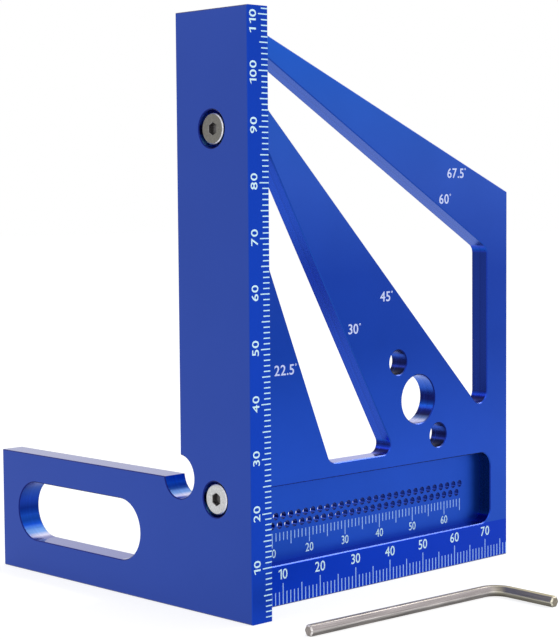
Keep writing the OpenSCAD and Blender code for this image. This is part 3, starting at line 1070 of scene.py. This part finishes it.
def turned_steel(name, face_tone, node_name):
    """Steel ringed round a screw's X axis, a painted highlight on its chamfer, painted shade in its socket.
    """
    low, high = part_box(node_name)
    axis = Vector((low.x, (low.y + high.y) / 2, (low.z + high.z) / 2))
    material, tree, place = start_material(name)
    centred = add(tree, "ShaderNodeMapping", {"Vector": place, "Location": -axis}).outputs[0]
    depth = add(tree, "ShaderNodeSeparateXYZ", {0: centred}).outputs["X"]
    flat = add(tree, "ShaderNodeVectorMath", {0: centred, 1: (0, 1, 1)}, operation="MULTIPLY").outputs[0]
    radius = add(tree, "ShaderNodeVectorMath", {0: flat}, operation="LENGTH").outputs["Value"]
    chamfer = add(tree, "ShaderNodeMath", {
        0: radius, 1: (high.y - low.y) / 2 - HEAD_EDGE + SKIN
    }, operation="GREATER_THAN").outputs[0]
    sunk = add(tree, "ShaderNodeMath", {0: depth, 1: SKIN}, operation="GREATER_THAN").outputs[0]
    inner = add(tree, "ShaderNodeMath", {
        0: radius, 1: SOCKET_REACH_SHARE * SOCKET_FLATS
    }, operation="LESS_THAN").outputs[0]
    socket = add(tree, "ShaderNodeMath", {0: sunk, 1: inner}, operation="MULTIPLY").outputs[0]

    rings = add(tree, "ShaderNodeTexNoise", {
        "W": radius, "Scale": per_size(LATHE_RING)
    }, noise_dimensions="1D").outputs[0]
    specks = add(tree, "ShaderNodeTexNoise", {
        "Vector": place, "Scale": per_size(SPECK), "Detail": 3.0
    }).outputs[0]
    colour = painted(tree, linear(face_tone), [
        (chamfer, linear(CHAMFER_HIGHLIGHT_STEEL)),
        (socket, linear(SOCKET_SHADE_STEEL)),
    ])
    colour = mottled(tree, colour, specks, SPECK_DARK, SPECK_LIGHT)
    height = add(tree, "ShaderNodeMath", {0: rings, 1: specks}, operation="ADD").outputs[0]
    bump = add(tree, "ShaderNodeBump", {
        "Height": height, "Strength": TURNED_STRENGTH, "Distance": STEEL_RELIEF
    }).outputs[0]
    finish_material(tree, {"Base Color": colour, "Metallic": 1.0, "Roughness": TURNED_ROUGHNESS}, bump)
    return material


print("lathe rings drawn at", LATHE_RING, "mm, specks at", SPECK, "mm")

# %% Drawn steel
# The width and the length of a drawn line, in millimetres.
DRAWN_LINE = 0.3
DRAWN_LENGTH = 9

DRAWN_NOISE_LOW = 0.35
DRAWN_NOISE_HIGH = 0.65
DRAWN_DARK = 0.62
DRAWN_LIGHT = 1.35
DRAWN_STRENGTH = 0.2
DRAWN_ROUGHNESS = 0.5
SHORT_ARM_START = 46.0 * MM
SHORT_ARM_WHOLE = 49.0 * MM
# The short arm's painted shade, tinted warm against the blue that it mirrors.
SHORT_ARM_SHADE_TONE = "#f0f0de"

# The key's painted light by tilt: greyer facets as painted shade, bright corner lines as painted highlights.
key_light_tones = (
    (-1.0, "#8d8883"),
    (-0.5, "#726e6c"),
    (-0.3, "#e8e4e2"),
    (-0.08, "#948d89"),
    (0.08, "#948d89"),
    (0.3, "#f4f0ee"),
    (0.45, "#9d9696"),
    (0.6, "#9d9696"),
    (0.75, "#d6d0ce"),
    (0.9, "#d2c6aa"),
    (1.0, "#d2c6aa"),
)


def drawn_steel():
    """Steel with lines along the bar, by its length and girth, and a warm painted shade on the short arm."""
    material, tree, _ = start_material("drawn_steel_key")
    run = add(tree, "ShaderNodeAttribute", attribute_name="bar_run").outputs["Fac"]
    girth = add(tree, "ShaderNodeAttribute", attribute_name="bar_girth").outputs["Fac"]
    short_arm = add(tree, "ShaderNodeMapRange", {0: run, 1: SHORT_ARM_START, 2: SHORT_ARM_WHOLE}).outputs[0]
    arm_shade = painted(tree, WHITE, [(short_arm, linear(SHORT_ARM_SHADE_TONE))])
    stretched = add(tree, "ShaderNodeCombineXYZ", {0: run, 1: girth}).outputs[0]
    squeezed = add(tree, "ShaderNodeVectorMath", {
        0: stretched, 1: (per_size(DRAWN_LENGTH), per_size(DRAWN_LINE), 1)
    }, operation="MULTIPLY").outputs[0]
    lines = add(tree, "ShaderNodeTexNoise", {"Vector": squeezed, "Scale": 1.0, "Detail": 3.0}).outputs[0]
    colour = mottled(tree, tones_over(tree, normal_tilt(tree), key_light_tones), lines, DRAWN_DARK, DRAWN_LIGHT,
                     low=DRAWN_NOISE_LOW, high=DRAWN_NOISE_HIGH)
    colour = add(tree, "ShaderNodeMix", {
        0: 1.0, 6: colour, 7: arm_shade
    }, data_type="RGBA", blend_type="MULTIPLY").outputs[2]
    bump = add(tree, "ShaderNodeBump", {
        "Height": lines, "Strength": DRAWN_STRENGTH, "Distance": STEEL_RELIEF
    }).outputs[0]
    finish_material(tree, {"Base Color": colour, "Metallic": 1.0, "Roughness": DRAWN_ROUGHNESS}, bump)
    return material


print("drawn lines", DRAWN_LENGTH, "mm long and", DRAWN_LINE, "mm wide")

# %% [markdown]
# ## The cap screws
#
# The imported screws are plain, because a thread tells nothing about how the part works. When a screw is
# taken out, though, its thread shows. A screw is made on a lathe, so the mesh is made the same way: rings
# of points round one axis. Here a ring may also be out of round. The socket's rings are hexagons, and on
# the thread the radius rises and falls with the angle, by one pitch in a full turn, which draws the helix
# with no cutting at all.

# %% Rings of a screw
THREAD_D = 3.0 * MM
THREAD_PITCH = 0.5 * MM
THREAD_DEPTH = 0.27 * MM
FLANK_STEEPNESS = 2.4
TIP_TAPER = 0.4 * MM
RING_POINTS = 96
RINGS_PER_PITCH = 10


def round_ring(x, radius):
    """A circle round the screw's axis, as (x, radius, angle) points."""
    return [(x, radius, 2 * math.pi * i / RING_POINTS) for i in range(RING_POINTS)]


def hexagon_ring(x, flats):
    """A hexagon, as the distance from the axis to its sides at each angle."""
    side = math.pi / 3
    angles = [2 * math.pi * i / RING_POINTS for i in range(RING_POINTS)]
    return [(x, flats / 2 / math.cos((angle + side / 2) % side - side / 2), angle) for angle in angles]


def thread_ring(x, run, length):
    """A ring of the thread at a distance along it, with the groove fading out at both ends."""
    fade = min(1, run / THREAD_PITCH, (length - run) / THREAD_PITCH)
    tip = min(1, (length - run) / TIP_TAPER)
    ring = []
    for i in range(RING_POINTS):
        phase = (run / THREAD_PITCH - i / RING_POINTS) % 1
        groove = 1 - min(1, FLANK_STEEPNESS * abs(phase - 0.5))
        radius = THREAD_D / 2 - THREAD_DEPTH * groove * fade - TIP_TAPER * (1 - tip)
        ring.append((x, radius, 2 * math.pi * i / RING_POINTS))
    return ring


print("a screw's rings have", RING_POINTS, "points, and a turn of thread has", RINGS_PER_PITCH, "rings")

# %% A closed mesh from rings
SCREW_SHARP_ANGLE = math.radians(28)


def revolved(name, rings, y, z, finish):
    """A closed mesh through rings of (x, radius, angle) points round an axis along X, with a point at
    each end."""
    points = [(rings[0][0][0], y, z)]
    for ring in rings:
        for x, radius, angle in ring:
            points.append((x, y + radius * math.cos(angle), z + radius * math.sin(angle)))
    points.append((rings[-1][0][0], y, z))
    last = len(points) - 1
    end = last - RING_POINTS
    faces = []
    for i in range(RING_POINTS):
        after = (i + 1) % RING_POINTS
        faces.append((0, 1 + after, 1 + i))
        for j in range(len(rings) - 1):
            near = 1 + j * RING_POINTS
            far = near + RING_POINTS
            faces.append((near + i, near + after, far + after, far + i))
        faces.append((end + i, end + after, last))
    mesh = bpy.data.meshes.new(name)
    mesh.from_pydata(points, [], faces)
    mesh.materials.append(finish)
    mesh.shade_smooth()
    mesh.set_sharp_from_angle(angle=SCREW_SHARP_ANGLE)
    piece = bpy.data.objects.new(name, mesh)
    bpy.context.scene.collection.objects.link(piece)
    return piece


print("a screw's shading is sharp past", round(math.degrees(SCREW_SHARP_ANGLE)), "degrees")

# %% The two screws
HEAD_HEIGHT = 2.0 * MM
HEAD_UNDER_EDGE = 0.08 * MM
SOCKET_DEPTH = 1.2 * MM
SOCKET_CONE = 0.4 * MM
SOCKET_CONE_TIP = 0.05 * MM
SOCKET_FLOOR_GAP = 0.03 * MM
SOCKET_LIP = 0.12 * MM


def cap_screw(name, node_name, finish):
    """A low-head cap screw in the place of a packed one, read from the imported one's box."""
    low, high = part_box(node_name)
    middle = (low + high) / 2
    head_radius = (high.y - low.y) / 2
    top = low.x
    under_head = top + HEAD_HEIGHT
    shank = high.x - under_head
    floor = top + SOCKET_DEPTH

    # From the socket's bottom up its sides, over the head, and along the thread to the tip.
    rings = [
        round_ring(floor + SOCKET_CONE, SOCKET_CONE_TIP),
        round_ring(floor, SOCKET_FLATS / 2 - SOCKET_FLOOR_GAP),
        hexagon_ring(floor, SOCKET_FLATS),
        hexagon_ring(top + SOCKET_LIP, SOCKET_FLATS),
        hexagon_ring(top, SOCKET_FLATS + 2 * SOCKET_LIP),
        round_ring(top, head_radius - HEAD_EDGE),
        round_ring(top + HEAD_EDGE, head_radius),
        round_ring(under_head - HEAD_UNDER_EDGE, head_radius),
        round_ring(under_head, head_radius - HEAD_UNDER_EDGE),
        round_ring(under_head, THREAD_D / 2),
    ]
    steps = round(shank / THREAD_PITCH * RINGS_PER_PITCH)
    for i in range(1, steps + 1):
        run = shank * i / steps
        rings.append(thread_ring(under_head + run, run, shank))

    piece = revolved(name, rings, middle.y, middle.z, finish)
    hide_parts(node_name)
    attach(piece, node_name)
    turns = round(shank / THREAD_PITCH)
    print(name, "has", len(piece.data.polygons), "faces and a thread of", turns, "turns")


# The upper head is the duller of the two, a painted shade on the same steel.
for place_word, tone in (("upper", "#74726d"), ("lower", "#c1c2c3")):
    packed = place_word + "_screw"
    cap_screw(place_word + "_cap_screw", packed, turned_steel("turned_steel_" + place_word, tone, packed))

# %% [markdown]
# ## The hex key
#
# A hex key is a length of drawn hexagon bar, bent once. Geometry Nodes say it in the same words: a line
# with a rounded corner, and a hexagon swept along it. The hexagon's own corners are rounded a little, as
# drawing leaves them, and they catch a fine line of light. The bar lies on one of its flats. The tree also
# writes how far each point is along the bar and round it, for the lines that the drawing leaves.

# %% The key's sizes and its tree's inputs
KEY_FLATS = 2.0 * MM
KEY_LONG = 50.0 * MM
KEY_SHORT = 16.0 * MM
KEY_BEND = 3.5 * MM
KEY_CORNER = 0.2 * MM
KEY_END_EDGE = 0.25 * MM
KEY_STEP = 0.25 * MM
BEND_STEPS = 24
CORNER_STEPS = 4

key_inputs = (
    ("Long arm", "NodeSocketFloat"),
    ("Short arm", "NodeSocketFloat"),
    ("Bend", "NodeSocketFloat"),
    ("Flats", "NodeSocketFloat"),
    ("Corner", "NodeSocketFloat"),
    ("End edge", "NodeSocketFloat"),
    ("Material", "NodeSocketMaterial"),
)

print("the key is", round(KEY_LONG / MM), "by", round(KEY_SHORT / MM), "mm over its arms")

# %% The tree that makes the key


def key_tree():
    """A bent bar whose elbow is at the origin, with its long arm along -X and its short one along -Y."""
    tree, given = new_tree("bent_hexagon_bar", key_inputs)

    # The middle line has three points, the elbow between the ends, and is then rounded and cut evenly.
    half = add(tree, "ShaderNodeMath", {0: given["Flats"], 1: 0.5}, operation="MULTIPLY").outputs[0]
    index = add(tree, "GeometryNodeInputIndex").outputs[0]
    arm_ends = []
    for arm, number in (("Long arm", 0), ("Short arm", 2)):
        reach = add(tree, "ShaderNodeMath", {0: half, 1: given[arm]}, operation="SUBTRACT").outputs[0]
        at_end = add(tree, "FunctionNodeCompare", {
            2: index, 3: number
        }, data_type="INT", operation="EQUAL").outputs[0]
        arm_end = add(tree, "GeometryNodeSwitch", {0: at_end, 1: 0.0, 2: reach}, input_type="FLOAT")
        arm_ends.append(arm_end.outputs[0])
    corner = add(tree, "ShaderNodeCombineXYZ", {0: arm_ends[0], 1: arm_ends[1]}).outputs[0]
    three = add(tree, "GeometryNodeMeshLine", {"Count": 3}).outputs[0]
    sharp = add(tree, "GeometryNodeSetPosition", {"Geometry": three, "Position": corner}).outputs[0]
    path = add(tree, "GeometryNodeMeshToCurve", {0: sharp}).outputs[0]
    bent = add(tree, "GeometryNodeFilletCurve", {
        "Curve": path, "Count": BEND_STEPS, "Radius": given["Bend"]
    }, mode="POLY").outputs[0]
    even = add(tree, "GeometryNodeResampleCurve", {
        "Curve": bent, "Length": KEY_STEP
    }, mode="LENGTH").outputs[0]

    # Near both ends the bar narrows, which gives it its end edges.
    run = add(tree, "GeometryNodeSplineParameter").outputs["Length"]
    marked = add(tree, "GeometryNodeStoreNamedAttribute", {
        "Geometry": even, "Name": "bar_run", "Value": run
    }, data_type="FLOAT", domain="POINT").outputs[0]
    total = add(tree, "GeometryNodeSplineLength").outputs["Length"]
    left_over = add(tree, "ShaderNodeMath", {0: total, 1: run}, operation="SUBTRACT").outputs[0]
    nearest = add(tree, "ShaderNodeMath", {0: run, 1: left_over}, operation="MINIMUM").outputs[0]
    in_edge = add(tree, "ShaderNodeMath", {
        0: given["End edge"], 1: nearest
    }, operation="SUBTRACT").outputs[0]
    cut = add(tree, "ShaderNodeMath", {0: in_edge, 1: 0.0}, operation="MAXIMUM").outputs[0]
    share = add(tree, "ShaderNodeMath", {0: cut, 1: half}, operation="DIVIDE").outputs[0]
    girth_share = add(tree, "ShaderNodeMath", {0: 1.0, 1: share}, operation="SUBTRACT").outputs[0]

    # A hexagon with rounded corners is swept along the line.
    across = add(tree, "ShaderNodeMath", {0: half, 1: math.cos(math.pi / 6)}, operation="DIVIDE").outputs[0]
    hexagon = add(tree, "GeometryNodeCurvePrimitiveCircle", {"Resolution": 6, "Radius": across}).outputs[0]
    rounded = add(tree, "GeometryNodeFilletCurve", {
        "Curve": hexagon, "Count": CORNER_STEPS, "Radius": given["Corner"]
    }, mode="POLY").outputs[0]
    girth = add(tree, "GeometryNodeSplineParameter").outputs["Length"]
    around = add(tree, "GeometryNodeStoreNamedAttribute", {
        "Geometry": rounded, "Name": "bar_girth", "Value": girth
    }, data_type="FLOAT", domain="POINT").outputs[0]
    bar = add(tree, "GeometryNodeCurveToMesh", {
        "Curve": marked, "Profile Curve": around, "Scale": girth_share, "Fill Caps": True
    }).outputs[0]
    real = add(tree, "GeometryNodeRealizeInstances", {0: bar}).outputs[0]
    worn = add(tree, "GeometryNodeSetMaterial", {"Geometry": real, "Material": given["Material"]}).outputs[0]
    add(tree, "NodeGroupOutput", {0: worn})
    return tree


bent_hexagon_bar = key_tree()
print("the key's tree has", len(bent_hexagon_bar.nodes), "nodes")

# %% The key in its place
KEY_TURN = math.radians(-3)
KEY_ELBOW = Vector((45.4, -25.0, 0)) * MM
KEY_SHARP_ANGLE = math.radians(35)

axis_height = Vector((0, 0, KEY_FLATS / 2))
key_place = Matrix.Translation(KEY_ELBOW + axis_height) @ Matrix.Rotation(KEY_TURN, 4, "Z")
key = bake_tree("bent_key", bent_hexagon_bar, {
    "Long arm": KEY_LONG,
    "Short arm": KEY_SHORT,
    "Bend": KEY_BEND,
    "Flats": KEY_FLATS,
    "Corner": KEY_CORNER,
    "End edge": KEY_END_EDGE,
    "Material": drawn_steel(),
}, key_place)
key.data.shade_smooth()
key.data.set_sharp_from_angle(angle=KEY_SHARP_ANGLE)
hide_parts("hex_key")
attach(key, "hex_key")
key_points = [vertex.co for vertex in key.data.vertices]
for corner_word, pick, packed in (("low", min, key_low), ("high", max, key_high)):
    drawn_corner = [round(pick(point[i] for point in key_points) / MM, 2) for i in range(3)]
    packed_corner = [round(value / MM, 2) for value in packed]
    print("key's", corner_word, "corner, mm:", drawn_corner, "packed:", packed_corner)

# %% [markdown]
# ## Floor, background and light
#
# The object stands on a pale floor in an even, white studio. The floor and the world show pure white to
# the camera and in the metal's reflections, and the floor still darkens a little where the object shades
# it. The lamps are large and weak, so that every colour renders about as it is written.

# %% Pale floor
FLOOR_SIZE = 6
FLOOR_DROP = 0.05 * MM
SHADOW_SHARE = 0.45
FLOOR_GLOW = 0.68
FLOOR_GREY = "#e6e6e6"


def background_rays(tree):
    """1 for the rays that should see white: from the camera, in a reflection and through glass."""
    path = add(tree, "ShaderNodeLightPath")
    both = add(tree, "ShaderNodeMath", {
        0: path.outputs["Is Camera Ray"], 1: path.outputs["Is Glossy Ray"]
    }, operation="MAXIMUM").outputs[0]
    return add(tree, "ShaderNodeMath", {
        0: both, 1: path.outputs["Is Transmission Ray"]
    }, operation="MAXIMUM").outputs[0]


def pale_floor():
    """A matt floor that glows white where it is seen, with part of the shadow left in place."""
    material, tree, _ = start_material("matt_white_floor")
    shadow_tone = (SHADOW_SHARE, SHADOW_SHARE, SHADOW_SHARE, 1)
    lit = add(tree, "ShaderNodeBsdfDiffuse", {"Color": linear(FLOOR_GREY)}).outputs[0]
    weak = add(tree, "ShaderNodeBsdfDiffuse", {"Color": shadow_tone}).outputs[0]
    glow = add(tree, "ShaderNodeEmission", {"Color": WHITE, "Strength": FLOOR_GLOW}).outputs[0]
    white = add(tree, "ShaderNodeAddShader", {0: weak, 1: glow}).outputs[0]
    seen = add(tree, "ShaderNodeMixShader", {0: background_rays(tree), 1: lit, 2: white}).outputs[0]
    add(tree, "ShaderNodeOutputMaterial", {"Surface": seen})
    return material


def add_floor():
    """A square floor, a hair below the object."""
    half = FLOOR_SIZE / 2
    corners = [(x * half, y * half, -FLOOR_DROP) for x, y in ((-1, -1), (1, -1), (1, 1), (-1, 1))]
    mesh = bpy.data.meshes.new("floor")
    mesh.from_pydata(corners, [], [(0, 1, 2, 3)])
    mesh.materials.append(pale_floor())
    floor = bpy.data.objects.new("floor", mesh)
    bpy.context.scene.collection.objects.link(floor)


add_floor()
print("the floor is", FLOOR_SIZE, "m wide")

# %% White world
SOFT_LIGHT = 0.75


def white_world():
    """A world that gives a soft light, and shows pure white where it is seen."""
    world = bpy.data.worlds.new("studio")
    world.use_nodes = True
    tree = world.node_tree
    tree.nodes.clear()
    soft = add(tree, "ShaderNodeBackground", {"Color": WHITE, "Strength": SOFT_LIGHT}).outputs[0]
    white = add(tree, "ShaderNodeBackground", {"Color": WHITE, "Strength": 1.0}).outputs[0]
    seen = add(tree, "ShaderNodeMixShader", {0: background_rays(tree), 1: soft, 2: white}).outputs[0]
    add(tree, "ShaderNodeOutputWorld", {"Surface": seen})
    bpy.context.scene.world = world


white_world()
print("the world's light has a strength of", SOFT_LIGHT)

# %% Lamps
AIM = Vector((20, 10, 50)) * MM

# Each lamp's name, its place and side in metres, and its power in watts.
lamps = (
    ("key_lamp", (0.72, -0.2, 0.75), 0.3, 3.0),
    ("rim_lamp", (-0.45, 0.72, 0.5), 0.25, 0.8),
    ("front_lamp", (-0.3, -0.8, 0.6), 0.6, 2.0),
)


def add_lamp(name, place, size, power):
    """A square soft box that looks at the middle of the object."""
    light = bpy.data.lights.new(name, "AREA")
    light.shape = "SQUARE"
    light.size = size
    light.energy = power
    lamp = bpy.data.objects.new(name, light)
    lamp.location = Vector(place)
    lamp.rotation_euler = (AIM - lamp.location).to_track_quat("-Z", "Y").to_euler()
    bpy.context.scene.collection.objects.link(lamp)
    print(name, "shines with", power, "W")


for lamp_name, lamp_place, side, power in lamps:
    add_lamp(lamp_name, lamp_place, side, power)

bpy.context.scene.view_settings.view_transform = "Standard"
